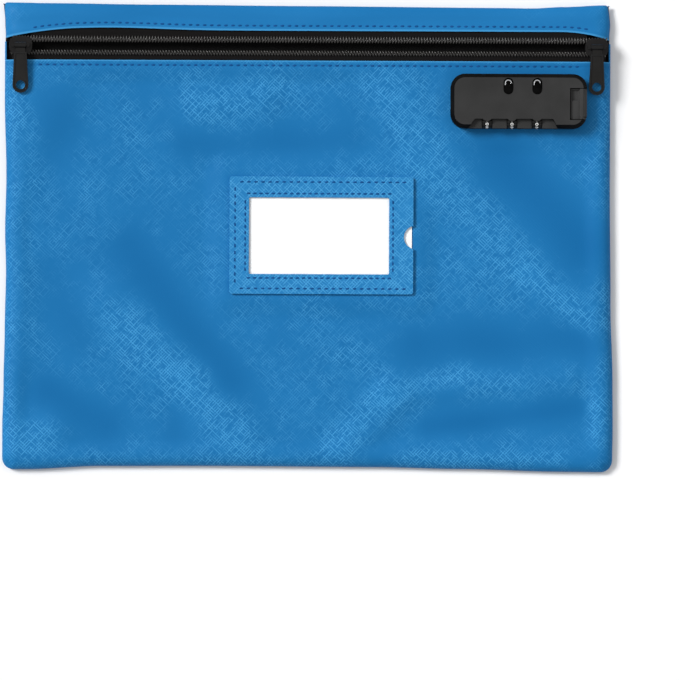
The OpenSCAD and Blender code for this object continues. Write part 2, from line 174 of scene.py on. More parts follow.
def link(tree, a, b):
    tree.links.new(a, b)


def node(tree, kind, **values):
    made = tree.nodes.new(kind)
    for key, value in values.items():
        setattr(made, key, value)
    return made


def mathNode(tree, operation, a, b=None, clamp=False):
    made = node(tree, "ShaderNodeMath", operation=operation, use_clamp=clamp)
    for index, value in enumerate((a, b)):
        if value is None:
            continue
        if isinstance(value, (int, float)):
            made.inputs[index].default_value = value
        else:
            link(tree, value, made.inputs[index])
    return made.outputs[0]


def mapped(tree, vector, turn=0.0, scale=(1, 1, 1)):
    place = node(tree, "ShaderNodeMapping")
    place.inputs["Rotation"].default_value = (0, 0, math.radians(turn))
    place.inputs["Scale"].default_value = scale
    link(tree, vector, place.inputs["Vector"])
    return place.outputs["Vector"]


def noiseAt(tree, vector, scale, detail=2.0, rough=0.5):
    made = node(tree, "ShaderNodeTexNoise")
    made.inputs["Scale"].default_value = scale
    made.inputs["Detail"].default_value = detail
    made.inputs["Roughness"].default_value = rough
    link(tree, vector, made.inputs["Vector"])
    return made.outputs["Fac"]


def remap(tree, value, low, high, toLow=0.0, toHigh=1.0, smooth=False):
    made = node(tree, "ShaderNodeMapRange")
    made.interpolation_type = "SMOOTHSTEP" if smooth else "LINEAR"
    for key, number in (("From Min", low), ("From Max", high), ("To Min", toLow), ("To Max", toHigh)):
        made.inputs[key].default_value = number
    link(tree, value, made.inputs["Value"])
    return made.outputs["Result"]


def mixColour(tree, factor, a, b):
    made = node(tree, "ShaderNodeMix", data_type="RGBA")
    if isinstance(factor, (int, float)):
        made.inputs["Factor"].default_value = factor
    else:
        link(tree, factor, made.inputs["Factor"])
    for socket, value in ((made.inputs[6], a), (made.inputs[7], b)):
        if isinstance(value, tuple):
            socket.default_value = (*value, 1)
        else:
            link(tree, value, socket)
    return made.outputs[2]


def newGroup(name, inputs, outputs):
    tree = bpy.data.node_groups.new(name, "ShaderNodeTree")
    for label, kind, value in inputs:
        socket = tree.interface.new_socket(label, in_out="INPUT", socket_type=kind)
        if value is not None:
            socket.default_value = value
    for label, kind in outputs:
        tree.interface.new_socket(label, in_out="OUTPUT", socket_type=kind)
    return tree, tree.nodes.new("NodeGroupInput"), tree.nodes.new("NodeGroupOutput")


def placeGroup(tree, group, vector, **values):
    made = node(tree, "ShaderNodeGroup", node_tree=group)
    link(tree, vector, made.inputs["Vector"])
    for key, value in values.items():
        made.inputs[key].default_value = value
    return made


def hatchGroup():
    # two crossed sets of fine broken ridges, as pressed into saffiano leather
    tree, start, end = newGroup(
        "crossHatch",
        [("Vector", "NodeSocketVector", None), ("Pitch", "NodeSocketFloat", 1.1)],
        [("Height", "NodeSocketFloat"), ("Patches", "NodeSocketFloat")],
    )
    scale = node(tree, "ShaderNodeVectorMath", operation="SCALE")
    link(tree, start.outputs["Vector"], scale.inputs[0])
    link(tree, mathNode(tree, "DIVIDE", 1 / mm, start.outputs["Pitch"]), scale.inputs["Scale"])
    vector = scale.outputs["Vector"]
    ridges = []
    for turn in (43, -47):
        turned = mapped(tree, vector, turn)
        wave = node(tree, "ShaderNodeTexWave", bands_direction="X")
        wave.inputs["Scale"].default_value = 0.314
        wave.inputs["Distortion"].default_value = 0.45
        wave.inputs["Detail"].default_value = 1.0
        link(tree, turned, wave.inputs["Vector"])
        streak = noiseAt(tree, mapped(tree, turned, 0, (1.0, 0.24, 1)), 1.0, 1.0, 0.5)
        broken = remap(tree, streak, 0.41, 0.58, 0.0, 1.0)
        line = remap(tree, wave.outputs["Fac"], 0.50, 0.92, smooth=True)
        ridges.append(mathNode(tree, "MULTIPLY", line, broken))
    height = mathNode(tree, "MAXIMUM", *ridges)
    link(tree, height, end.inputs["Height"])
    link(tree, noiseAt(tree, vector, 0.11, 3.0, 0.6), end.inputs["Patches"])
    return tree


def wearGroup():
    # slow change of tone, for every finish
    tree, start, end = newGroup(
        "slowChange",
        [("Vector", "NodeSocketVector", None), ("Scale", "NodeSocketFloat", 30.0)],
        [("Tone", "NodeSocketFloat")],
    )
    broad = node(tree, "ShaderNodeTexNoise")
    broad.inputs["Detail"].default_value = 3
    link(tree, start.outputs["Vector"], broad.inputs["Vector"])
    link(tree, start.outputs["Scale"], broad.inputs["Scale"])
    link(tree, remap(tree, broad.outputs["Fac"], 0.3, 0.7), end.inputs["Tone"])
    return tree


def weaveGroup():
    # ribs of a woven tape, running along X, crossed by fine threads
    tree, start, end = newGroup(
        "tapeWeave",
        [("Vector", "NodeSocketVector", None), ("Pitch", "NodeSocketFloat", 0.7)],
        [("Height", "NodeSocketFloat")],
    )
    scale = node(tree, "ShaderNodeVectorMath", operation="SCALE")
    link(tree, start.outputs["Vector"], scale.inputs[0])
    link(tree, mathNode(tree, "DIVIDE", 1 / mm, start.outputs["Pitch"]), scale.inputs["Scale"])
    waves = []
    for direction, size in (("Y", 0.314), ("X", 0.40)):
        wave = node(tree, "ShaderNodeTexWave", bands_direction=direction)
        wave.inputs["Scale"].default_value = size
        wave.inputs["Distortion"].default_value = 0.5
        turned = mapped(tree, scale.outputs["Vector"], 14 if direction == "X" else 0)
        link(tree, turned, wave.inputs["Vector"])
        waves.append(wave.outputs["Fac"])
    link(tree, mathNode(tree, "MULTIPLY", *waves), end.inputs["Height"])
    return tree


crossHatch = hatchGroup()
slowChange = wearGroup()
tapeWeave = weaveGroup()


def attributeValue(tree, name):
    return node(tree, "ShaderNodeAttribute", attribute_name=name).outputs["Fac"]


def seamDent(tree, coordinate, centre, width):
    # a soft groove where a row of stitches pulls the leather down, pressed into the bump and darkened
    # with painted shade
    away = mathNode(tree, "ABSOLUTE", mathNode(tree, "SUBTRACT", coordinate, centre * mm))
    return remap(tree, away, 0.0, width * mm, 1.0, 0.0, smooth=True)


def leatherMaterial(name, look, seams=(), withPaintedShade=True):
    # smooth in the hollows, with the pressed grain showing on the crests; painted light and shade lie
    # over the whole sheet, with a painted highlight on the grain's ridges and painted shade in its pits
    material, tree = newMaterial(name)
    shader = node(tree, "ShaderNodeBsdfPrincipled")
    out = node(tree, "ShaderNodeOutputMaterial")
    link(tree, shader.outputs[0], out.inputs[0])
    vector = node(tree, "ShaderNodeTexCoord").outputs["Object"]
    hatch = placeGroup(tree, crossHatch, vector, Pitch=look["pitch"])
    slow = placeGroup(tree, slowChange, vector, Scale=16.0)
    noise = mathNode(tree, "SUBTRACT", hatch.outputs["Patches"], 0.5)
    noise = mathNode(tree, "MULTIPLY", noise, look["patchy"])
    toneAndPaintedShade = mathNode(tree, "MULTIPLY", slow.outputs["Tone"], 0.06)
    toneAndPaintedShade = mathNode(tree, "ADD", toneAndPaintedShade, attributeValue(tree, "toneAndPaintedShade") if withPaintedShade else 0.45)
    # painted shade: the colour runs from dark to base with the tone
    colour = mixColour(tree, remap(tree, toneAndPaintedShade, 0.0, 1.1), look["dark"], look["base"])
    grain = mathNode(tree, "ADD", toneAndPaintedShade, noise)
    grain = remap(tree, grain, look["grainFrom"], look["grainFrom"] + 0.55, smooth=True)
    # painted highlight on the ridges of the grain
    shine = mathNode(tree, "MULTIPLY", hatch.outputs["Height"], grain)
    shine = mathNode(tree, "MULTIPLY", shine, look["grain"])
    colour = mixColour(tree, shine, colour, look["light"])
    # painted shade in the pits of the grain
    paintedPitShade = mathNode(tree, "MULTIPLY", mathNode(tree, "SUBTRACT", 1.0, hatch.outputs["Height"]), grain)
    colour = mixColour(tree, mathNode(tree, "MULTIPLY", paintedPitShade, 0.8 * look["grain"]), colour, look["paintedPitShade"])
    height = mathNode(tree, "MULTIPLY", hatch.outputs["Height"], remap(tree, grain, 0, 1, 0.35, 1.0))
    if seams:
        axes = node(tree, "ShaderNodeSeparateXYZ")
        link(tree, vector, axes.inputs[0])
        for centre, width in seams:
            dent = seamDent(tree, axes.outputs["Y"], centre, width)
            # painted shade darkens the leather in the stitch groove, which is also pressed down in the
            # bump
            colour = mixColour(tree, mathNode(tree, "MULTIPLY", dent, 0.55), colour, look["dark"])
            height = mathNode(tree, "SUBTRACT", height, mathNode(tree, "MULTIPLY", dent, 2.4))
    if withPaintedShade:
        # painted highlight along the folded edge at the mouth
        paintedEdgeHighlight = mathNode(tree, "MULTIPLY", attributeValue(tree, "paintedEdgeHighlight"), 0.42)
        colour = mixColour(tree, paintedEdgeHighlight, colour, look["light"])
    link(tree, colour, shader.inputs["Base Color"])
    link(tree, remap(tree, hatch.outputs["Height"], 0.0, 1.0, 0.62, 0.45), shader.inputs["Roughness"])
    relief = node(tree, "ShaderNodeBump")
    relief.inputs["Strength"].default_value = look["bump"]
    relief.inputs["Distance"].default_value = 0.1 * mm
    link(tree, height, relief.inputs["Height"])
    link(tree, relief.outputs[0], shader.inputs["Normal"])
    shader.inputs["Specular IOR Level"].default_value = 0.09
    return material


def plasticMaterial(name, base, rough, grain=0.12, grainScale=2600, metallic=0.0, coat=0.0, specular=0.2):
    material, tree = newMaterial(name)
    shader = node(tree, "ShaderNodeBsdfPrincipled")
    out = node(tree, "ShaderNodeOutputMaterial")
    link(tree, shader.outputs[0], out.inputs[0])
    vector = node(tree, "ShaderNodeTexCoord").outputs["Object"]
    slow = placeGroup(tree, slowChange, vector, Scale=60.0)
    light = tuple(min(1, c * 1.22 + 0.004) for c in base)
    colour = mixColour(tree, slow.outputs["Tone"], base, light)
    link(tree, colour, shader.inputs["Base Color"])
    roughness = remap(tree, slow.outputs["Tone"], 0, 1, rough - 0.05, rough + 0.06)
    link(tree, roughness, shader.inputs["Roughness"])
    relief = node(tree, "ShaderNodeBump")
    relief.inputs["Strength"].default_value = grain
    relief.inputs["Distance"].default_value = 0.05 * mm
    link(tree, noiseAt(tree, vector, grainScale, 2, 0.5), relief.inputs["Height"])
    link(tree, relief.outputs[0], shader.inputs["Normal"])
    shader.inputs["Metallic"].default_value = metallic
    shader.inputs["Coat Weight"].default_value = coat
    shader.inputs["Coat Roughness"].default_value = 0.08
    shader.inputs["Specular IOR Level"].default_value = specular
    return material


def wovenMaterial(name, base, pitch, rough=0.85, bump=0.6):
    material, tree = newMaterial(name)
    shader = node(tree, "ShaderNodeBsdfPrincipled")
    out = node(tree, "ShaderNodeOutputMaterial")
    link(tree, shader.outputs[0], out.inputs[0])
    vector = node(tree, "ShaderNodeTexCoord").outputs["Object"]
    weave = placeGroup(tree, tapeWeave, vector, Pitch=pitch)
    light = tuple(c * 1.9 + 0.003 for c in base)
    link(tree, mixColour(tree, weave.outputs["Height"], base, light), shader.inputs["Base Color"])
    link(tree, remap(tree, weave.outputs["Height"], 0, 1, rough, rough - 0.2), shader.inputs["Roughness"])
    relief = node(tree, "ShaderNodeBump")
    relief.inputs["Strength"].default_value = bump
    relief.inputs["Distance"].default_value = 0.15 * mm
    link(tree, weave.outputs["Height"], relief.inputs["Height"])
    link(tree, relief.outputs[0], shader.inputs["Normal"])
    shader.inputs["Specular IOR Level"].default_value = 0.08
    return material


def filmMaterial(name):
    material, tree = newMaterial(name)
    shader = node(tree, "ShaderNodeBsdfPrincipled")
    out = node(tree, "ShaderNodeOutputMaterial")
    link(tree, shader.outputs[0], out.inputs[0])
    vector = node(tree, "ShaderNodeTexCoord").outputs["Object"]
    slow = placeGroup(tree, slowChange, vector, Scale=22.0)
    link(tree, remap(tree, slow.outputs["Tone"], 0, 1, 0.06, 0.16), shader.inputs["Roughness"])
    link(tree, remap(tree, slow.outputs["Tone"], 0, 1, 0.10, 0.16), shader.inputs["Alpha"])
    colour = mixColour(tree, slow.outputs["Tone"], (0.9, 0.93, 0.96), (1, 1, 1))
    link(tree, colour, shader.inputs["Base Color"])
    relief = node(tree, "ShaderNodeBump")
    relief.inputs["Strength"].default_value = 0.25
    relief.inputs["Distance"].default_value = 0.3 * mm
    link(tree, noiseAt(tree, vector, 30, 1, 0.4), relief.inputs["Height"])
    link(tree, relief.outputs[0], shader.inputs["Normal"])
    return material


# dark is the colour of painted shade, light the colour of painted highlights, pit the painted shade in
# the grain's pits
bagBlue = {
    "dark": (0.0045, 0.124, 0.335),
    "base": (0.0175, 0.203, 0.482),
    "light": (0.090, 0.420, 0.775),
    "paintedPitShade": (0.004, 0.108, 0.310),
    "pitch": 1.36,
    "grain": 0.48,
    "grainFrom": 0.27,
    "patchy": 0.9,
    "bump": 0.5,
}
bandBlue = {**bagBlue, "grain": 0.2, "grainFrom": 0.50, "patchy": 0.8, "bump": 0.25}
pocketBlue = {
    **bagBlue,
    "dark": (0.016, 0.185, 0.45),
    "base": (0.030, 0.245, 0.545),
    "light": (0.130, 0.500, 0.840),
    "grainFrom": 0.05,
    "grain": 0.38,
}
zipY = 111.5
panelEdge, bandEdge = 103.2, 120.7

panelLeather = leatherMaterial("panelLeather", bagBlue, seams=((panelEdge - 2.9, 1.7),))
bandLeather = leatherMaterial("bandLeather", bandBlue)
backLeather = leatherMaterial("backLeather", bagBlue, withPaintedShade=False)
pocketLeather = leatherMaterial("pocketLeather", pocketBlue, withPaintedShade=False)
backingCloth = wovenMaterial("backingCloth", (0.004, 0.004, 0.004), 0.6)
tapeCloth = wovenMaterial("tapeCloth", (0.0045, 0.004, 0.004), 0.75)
threadFinish = plasticMaterial("threadFinish", (0.003, 0.062, 0.210), 0.6, 0.8, 5200, specular=0.1)
coilNylon = plasticMaterial("coilNylon", (0.036, 0.034, 0.032), 0.26, 0.1, 900, specular=0.6)
sliderBlack = (0.005, 0.0045, 0.0045)
sliderLacquer = plasticMaterial("sliderLacquer", sliderBlack, 0.18, 0.08, 500, coat=0.2, specular=0.15)
rimLacquer = plasticMaterial("rimLacquer", (0.002, 0.002, 0.002), 0.2, 0.05, 500, coat=0.3, specular=0.2)
bladeLacquer = plasticMaterial("bladeLacquer", (0.010, 0.0095, 0.009), 0.4, 0.2, 900, specular=0.12)
shadedLockEdge = plasticMaterial("shadedLockEdge", (0.0015, 0.0015, 0.0015), 0.4, 0.3, 3200, specular=0.06)
lockPlastic = plasticMaterial("lockPlastic", (0.022, 0.022, 0.022), 0.48, 0.35, 3200, specular=0.18)
buttonPlastic = plasticMaterial("buttonPlastic", (0.028, 0.028, 0.028), 0.45, 0.35, 3200, specular=0.18)
dialPlastic = plasticMaterial("dialPlastic", (0.006, 0.006, 0.006), 0.38, 0.2, 2400)
digitPaint = plasticMaterial("digitPaint", (0.75, 0.75, 0.73), 0.5, 0.1, 2400)
steelFinish = plasticMaterial("steelFinish", (0.70, 0.71, 0.73), 0.2, 0.15, 1200, metallic=1.0)
blackSteel = plasticMaterial("blackSteel", (0.004, 0.004, 0.004), 0.5, 0.15, 1200)
brassFinish = plasticMaterial("brassFinish", (0.40, 0.27, 0.10), 0.32, 0.15, 1200, metallic=1.0)
cardPaper = plasticMaterial("cardPaper", (0.90, 0.90, 0.885), 0.75, 0.2, 3600)
clearFilm = filmMaterial("clearFilm")
print("materials made")


# ---------- leather panels ----------

bag = {
    "halfWidth": 178.0,
    "halfHeight": 137.0,
    "top": 9.0,
    "seam": 2.4,
    "leather": 1.2,
    "frontRoll": 11.0,
    "backRoll": 4.5,
    "cornerLow": 7.0,
    "cornerTop": 2.2,
    "backJoin": 114.0,
}
half, tall = bag["halfWidth"], bag["halfHeight"]


def rollLength(roll, rise):
    return math.pi / 2 * math.sqrt((roll * roll + rise * rise) / 2)


def rollAt(distance, roll, rise):
    # how far in from the edge, and what share of the rise, at a distance along the surface from the seam
    length = rollLength(roll, rise)
    if distance >= length:
        return roll + distance - length, 1.0
    angle = distance / length * math.pi / 2
    return roll * (1 - math.cos(angle)), math.sin(angle)


def roundCorner(x, y, radius, lower):
    # moves a point near a square corner of the plan to its place in a round one
    overX = abs(x) - (half - radius)
    overY = (-y if lower else y) - (tall - radius)
    if overX <= 0 or overY <= 0:
        return x, y
    reach = max(overX, overY)
    angle = math.pi / 4 * overY / overX if overX >= overY else math.pi / 2 - math.pi / 4 * overX / overY
    newX = half - radius + reach * math.cos(angle)
    newY = tall - radius + reach * math.sin(angle)
    return math.copysign(newX, x), -newY if lower else newY


# soft crests in the leather: from, to, height and half-width, in mm
crests = [
    ((50, 96), (80, 32), 2.0, 17),
    ((80, 32), (176, -50), 2.6, 17),
    ((-112, -36), (-40, -118), 2.2, 15),
    ((-170, 30), (-150, 100), 1.2, 12),
    ((22, -128), (52, -92), 1.8, 10),
    ((52, -92), (150, -84), 1.6, 9),
    ((-62, 76), (-28, 80), 1.2, 11),
    ((-176, -128), (-150, -116), 1.5, 12),
    ((60, -128), (168, -126), 1.2, 8),
    ((-20, -60), (40, -104), 0.8, 13),
    ((-166, -20), (-166, -70), 0.8, 10),
]
# painted light and shade on the leather: from, to, amount and half-width
paintedLightAndShade = [
    ((46, 89), (69, 42), 0.34, 13),
    ((69, 42), (128, -20), 0.38, 13),
    ((128, -20), (166, -49), 0.55, 8),
    ((-108, -50), (-69, -84), 0.42, 14),
    ((-69, -84), (-40, -118), 0.45, 12),
    ((-168, 96), (-164, 20), 0.2, 8),
    ((-166, -122), (-158, -118), 0.5, 11),
    ((-62, 77), (-31, 80), 0.35, 12),
    ((18, -124), (46, -94), 0.5, 9),
    ((46, -94), (90, -80), 0.35, 6),
    ((90, -80), (128, -88), 0.22, 8),
    ((56, -131), (150, -130), 0.5, 4),
    ((170, -118), (171, -98), 0.5, 6),
    ((174, 84), (174, -90), 0.15, 5),
    ((-174, 98), (-175, -110), 0.12, 4),
    ((-140, -132), (20, -132), 0.22, 5),
    ((-20, 90), (30, 92), 0.15, 9),
    ((114, 46), (160, -4), -0.48, 20),
    ((-104, -5), (-48, -84), -0.42, 14),
    ((-148, 74), (-148, 50), -0.22, 14),
    ((-72, 54), (25, 57), -0.30, 10),
    ((-151, -92), (-118, -110), -0.42, 12),
    ((-151, -17), (-134, -61), -0.2, 12),
    ((66, -62), (160, -62), -0.42, 14),
    ((72, -112), (158, -100), -0.45, 8),
    ((-78, -116), (-78, -104), -0.2, 8),
    ((84, 98), (164, 98), -0.3, 5),
]
stiffPlaces = [
    (83.3, 163.3, 63.5, 95.4, 16),
    (-46.1, 61.9, -34, 35, 16),
    (-180, -150, 80, 110, 30),
    (160, 180, 80, 110, 20),
]
# how far the outline lies inside the largest width or height: place along the edge, distance
leftSide = [
    (-137, -1.6), (-112, -1.6), (-88, -1.0), (-55, -0.4), (-22, 0.2),
    (3, -0.4), (35, 0.2), (80, -0.9), (104, -0.9),
]
rightSide = [(-137, -1.6), (-112, -1.9), (-86, -1.7), (-39, -0.3), (33, 0.4), (84, 0.4), (104, 0.4)]
bottomSide = [
    (-178, -1.0), (-165, -0.8), (-120, 1.3), (-60, 1.6), (40, 1.3), (90, 0.4), (150, -1.0), (178, -1.2),
]
leftBand = [(104, -0.5), (118, -0.5), (125, -0.8), (137, -1.6)]
rightBand = [(104, 1.1), (118, 1.1), (125, 0.6), (137, 1.6)]
topSide = [(-178, 0.0), (-150, 0.4), (-90, 1.0), (0, 1.5), (110, 2.1), (132, 2.3), (150, 1.4), (178, 0.2)]


def alongCurve(points, t):
    if t <= points[0][0]:
        return points[0][1]
    for (t0, v0), (t1, v1) in zip(points, points[1:]):
        if t <= t1:
            return v0 + (v1 - v0) * ease((t - t0) / (t1 - t0))
    return points[-1][1]


def strokeSum(strokes, x, y):
    total = 0.0
    for (x0, y0), (x1, y1), amount, width in strokes:
        runX, runY = x1 - x0, y1 - y0
        length = math.hypot(runX, runY)
        along = ((x - x0) * runX + (y - y0) * runY) / length
        across = ((x - x0) * runY - (y - y0) * runX) / length
        past = max(-along, along - length, 0.0)
        total += amount * math.exp(-(across / width) ** 2 - (past / width) ** 2)
    return total


def leatherTone(x, y):
    # painted light and shade from the strokes above, with a small ripple of tone
    ripple = 0.05 * math.sin(x / 21 + 0.7) * math.sin(y / 17) + 0.04 * math.sin((x + y) / 9.5)
    return min(max(0.45 + 0.85 * strokeSum(paintedLightAndShade, x, y) + ripple, 0.0), 1.2)


def hollowDepth(x, y):
    # how far the free leather lies below the flat top, never above it
    lift = strokeSum(crests, x, y) - 1.9
    lift += 0.3 * math.sin(x / 23 + 1.3) * math.sin(y / 19 + 0.4)
    lift += 0.15 * math.sin((x + y) / 12.5) * math.sin((x - 1.6 * y) / 17 + 2)
    return -0.4 * math.log(1 + math.exp(-lift / 0.4))


def freeShare(x, y):
    # 0 where the lock, the pocket, the pulls and the mouth hold the leather flat, 1 where it is free
    share = 1.0
    for x0, x1, y0, y1, soft in stiffPlaces:
        away = math.hypot(max(x0 - x, x - x1, 0), max(y0 - y, y - y1, 0))
        share *= ease((away - 1.0) / soft)
    share *= ease((panelEdge - 3 - y) / 12)
    edge = min(half - abs(x), tall + y)
    return share * ease((edge - 3) / 14)


def nearMouth(x, y, v):
    # the folded edge of the leather along the mouth, where a painted highlight goes
    if y > zipY:
        return v < -0.95
    return y > panelEdge - 0.75


def frontPlace(u, v):
    roll, rise = bag["frontRoll"], bag["top"] - bag["seam"]
    length = rollLength(roll, rise)
    across = half - roll + length
    inX, liftX = rollAt(across * (1 - abs(u)), roll, rise)
    total = tall + panelEdge - roll + length
    share = (v + 1) / 2
    mouthShare = 0.93
    if share > mouthShare:
        left = (1 - share) / (1 - mouthShare)
        share = 1 - (1 - 0.97) * left ** 1.6
    else:
        share = share / mouthShare * 0.97
    inY, liftY = rollAt(total * share, roll, rise)
    x, y = math.copysign(half - inX, u), inY - tall
    x, y = roundCorner(x, y, bag["cornerLow"], True)
    z = bag["seam"] + rise * liftX * liftY + hollowDepth(x, y) * freeShare(x, y)
    return squeeze(x, y, leftSide, rightSide) + (z,)


def squeeze(x, y, left, right):
    # brings the sides and the bottom edge in to the bag's own outline
    side = alongCurve(left, y) if x < 0 else alongCurve(right, y)
    newX = x - math.copysign(1, x) * side * ease((abs(x) / half - 0.55) / 0.45)
    newY = y + alongCurve(bottomSide, x) * ease((-y / tall - 0.5) / 0.5)
    return newX, newY


def backPlace(u, v):
    roll, rise = bag["backRoll"], bag["seam"]
    length = rollLength(roll, rise)
    across = half - roll + length
    inX, liftX = rollAt(across * (1 - abs(u)), roll, rise)
    total = tall + bag["backJoin"] - roll + length
    inY, liftY = rollAt(total * (v + 1) / 2, roll, rise)
    x, y = math.copysign(half - inX, -u), inY - tall
    x, y = roundCorner(x, y, bag["cornerLow"], True)
    return squeeze(x, y, leftSide, rightSide) + (bag["seam"] * (1 - liftX * liftY),)


def bandEdgeAt(x):
    left = max(0, (45 - half - x) / 45)
    right = max(0, (x - half + 30) / 30)
    return bandEdge - 4.7 * (left * left + right * right) + 1.5 * math.exp(-((x + 116) / 38) ** 2)


def bandPlace(u, v):
    roll, rise = bag["frontRoll"], bag["top"] - bag["seam"]
    across = half - roll + rollLength(roll, rise)
    inX, liftX = rollAt(across * (1 - abs(u)), roll, rise)
    x = math.copysign(half - inX, u)
    foldIn, middle = 9.0, bag["top"] / 2
    start, turn = bandEdgeAt(x), tall - foldIn
    flat, bend = turn - start, math.pi * math.sqrt((foldIn ** 2 + middle ** 2) / 2)
    back = turn - bag["backJoin"]
    share = (v + 1) / 2
    along = (share * 0.9 + 0.1 * share ** 2.2) * (flat + bend + back)
    if along < flat:
        y, z = start + along, bag["top"]
    elif along < flat + bend:
        angle = (along - flat) / bend * math.pi
        y, z = turn + foldIn * math.sin(angle), middle + middle * math.cos(angle)
    else:
        y, z = turn - (along - flat - bend), 0.0
    wave = 0.45 * math.sin(x / 26 + 0.8) + 0.3 * math.sin(x / 11)
    if z > middle:
        z += (wave - 0.7) * ease((y - start - 2) / 6) * liftX * 0.8 * ease((z - middle) / middle)
    if y > turn:
        y -= alongCurve(topSide, x) * (y - turn) / foldIn
    liftBack = ease((half - abs(x)) / bag["backRoll"]) if z < bag["seam"] else liftX
    x, y = roundCorner(x, y, bag["cornerTop"], False)
    side = alongCurve(leftBand, y) if x < 0 else alongCurve(rightBand, y)
    x -= math.copysign(1, x) * side * ease((abs(x) / half - 0.55) / 0.45)
    return x, y, bag["seam"] + (z - bag["seam"]) * liftBack


def bandTone(x, y):
    if y < bandEdge - 6:
        return 0.5
    # painted light on the rolled ends of the band and along its folded lower edge, over a small ripple of
    # tone
    paintedEndLight = 0.25 * math.exp(-((x - 172) / 5) ** 2) + 0.18 * math.exp(-((x + 170) / 12) ** 2)
    paintedEdgeLight = 0.12 * math.exp(-((y - bandEdge - 1) / 2) ** 2)
    return 0.42 + paintedEndLight + 0.10 * math.sin(x / 24 + 2) * math.sin(y / 5) + paintedEdgeLight


def makePanels():
    front = makeSheet("front_panel_leather", 220, 160, frontPlace, leatherTone)
    dress(front, panelLeather, backingCloth)
    thicken(front, bag["leather"], 0.35)
    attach(front, "bag")
    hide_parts("front_panel")

    back = makeSheet("back_panel_leather", 120, 90, backPlace)
    dress(back, backLeather, backingCloth)
    thicken(back, bag["leather"])
    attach(back, "bag")
    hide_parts("back_panel")

    band = makeSheet("top_band_leather", 220, 60, bandPlace, bandTone)
    dress(band, bandLeather, backingCloth)
    thicken(band, bag["leather"], 0.35)
    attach(band, "bag")
    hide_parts("top_band")
    print("leather panels made")


makePanels()


# ---------- zip ----------

zipper = {
    "tapeTop": 7.8,
    "tape": 0.55,
    "tapeInner": 3.0,
    "tapeOuter": 15.6,
    "halfLength": 174.9,
    "coilOffset": 3.95,
    "coilUpper": 1.8,
    "coilLower": 1.35,
    "coilHeight": 1.5,
    "strand": 0.26,
    "pitch": 1.7,
    "coilEnd": 175.6,
}


def tapePlace(side):
    def place(u, v):
        roll, drop = 3.5, 5.0
        across = zipper["halfLength"] - roll + rollLength(roll, drop)
        inX, lift = rollAt(across * (1 - abs(u)), roll, drop)
        x = math.copysign(zipper["halfLength"] - inX, u)
        share = (v + 1) / 2
        if side < 0:
            share = 1 - share
        away = zipper["tapeInner"] + share * (zipper["tapeOuter"] - zipper["tapeInner"])
        z = zipper["tapeTop"] - drop * (1 - lift) + 0.06 * math.sin(x / 5.3) * (1 - share)
        most = 4.4 if side > 0 else 8.2
        if abs(x) > half - 15 and away > most:
            away = most + (away - most) * 0.02
        return x, zipY + side * away, z
    return place


def makeTapes():
    for side, label in ((1, "upper"), (-1, "lower")):
        tape = makeSheet("zip_tape_" + label + "_woven", 150, 12, tapePlace(side))
        dress(tape, tapeCloth)
        thicken(tape, zipper["tape"])
        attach(tape, "bag")
        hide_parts("zip_tape_" + label, "zip_end_right" if side > 0 else "zip_end_left")


def makeCoils():
    for side, label, radius in ((1, "upper", zipper["coilUpper"]), (-1, "lower", zipper["coilLower"])):
        deselectAll()
        bpy.ops.mesh.primitive_circle_add(vertices=6, radius=zipper["strand"] * mm, fill_type="NOTHING",
                                          location=(0, 0, radius * mm), rotation=(math.pi / 2, 0, 0))
        coil = bpy.context.object
        coil.name = "zip_coil_" + label + "_turns"
        bpy.ops.object.transform_apply(location=True, rotation=True, scale=False)
        turns = int(2 * zipper["coilEnd"] / zipper["pitch"])
        helix = coil.modifiers.new("helix", "SCREW")
        helix.axis = "X"
        helix.angle = math.radians(360)
        helix.screw_offset = zipper["pitch"] * mm
        helix.iterations = turns
        helix.steps = 12
        helix.render_steps = 12
        helix.use_smooth_shade = True
        applyAll(coil)
        flatten = zipper["coilHeight"] / 2 / (radius + zipper["strand"])
        squash = Matrix.Diagonal((1, 1, flatten, 1))
        lean = Matrix.Identity(4)
        lean[0][1] = 0.22 * side
        rise = zipper["tapeTop"] + zipper["coilHeight"] / 2
        place = Matrix.Translation((-turns * zipper["pitch"] / 2 * mm,
                                    (zipY + side * zipper["coilOffset"]) * mm, rise * mm))
        coil.data.transform(place @ lean @ squash)
        pick(coil)
        bpy.ops.object.mode_set(mode="EDIT")
        bpy.ops.mesh.select_all(action="SELECT")
        bpy.ops.mesh.normals_make_consistent(inside=False)
        bpy.ops.object.mode_set(mode="OBJECT")
        dress(coil, coilNylon)
        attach(coil, "bag")
        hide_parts("zip_coil_" + label)


makeTapes()
makeCoils()
print("zip made")


# ---------- stitches ----------

stitch = {"length": 2.4, "width": 1.15, "height": 0.5, "pitch": 4.15, "windowPitch": 3.6, "fromEdge": 2.9}


def stitchRow(start, end, z, pitch, rise=None):
    # one stitch, copied along a straight line, then set on the surface
    run = Vector(end) - Vector(start)
    count = max(1, int(run.length / pitch))
    spare = (run.length - (count - 1) * pitch) / 2
    deselectAll()
    bpy.ops.mesh.primitive_uv_sphere_add(segments=8, ring_count=6, radius=0.5 * mm)
    row = bpy.context.object
    row.data.transform(Matrix.Diagonal((stitch["length"], stitch["width"], stitch["height"], 1)))
    row.data.transform(Matrix.Rotation(math.radians(3.5), 4, "Z"))
    row.data.transform(Matrix.Translation((spare * mm, 0, 0)))
    copies = row.modifiers.new("copies", "ARRAY")
    copies.use_relative_offset = False
    copies.use_constant_offset = True
    copies.constant_offset_displace = (pitch * mm, 0, 0)
    copies.count = count
    applyAll(row)
    row.data.transform(Matrix.Rotation(math.atan2(run.y, run.x), 4, "Z"))
    row.data.transform(Matrix.Translation((start[0] * mm, start[1] * mm, z * mm)))
    if rise:
        for vertex in row.data.vertices:
            vertex.co.y += rise(vertex.co.x / mm) * mm
    smoothEdges(row, 60)
    return row


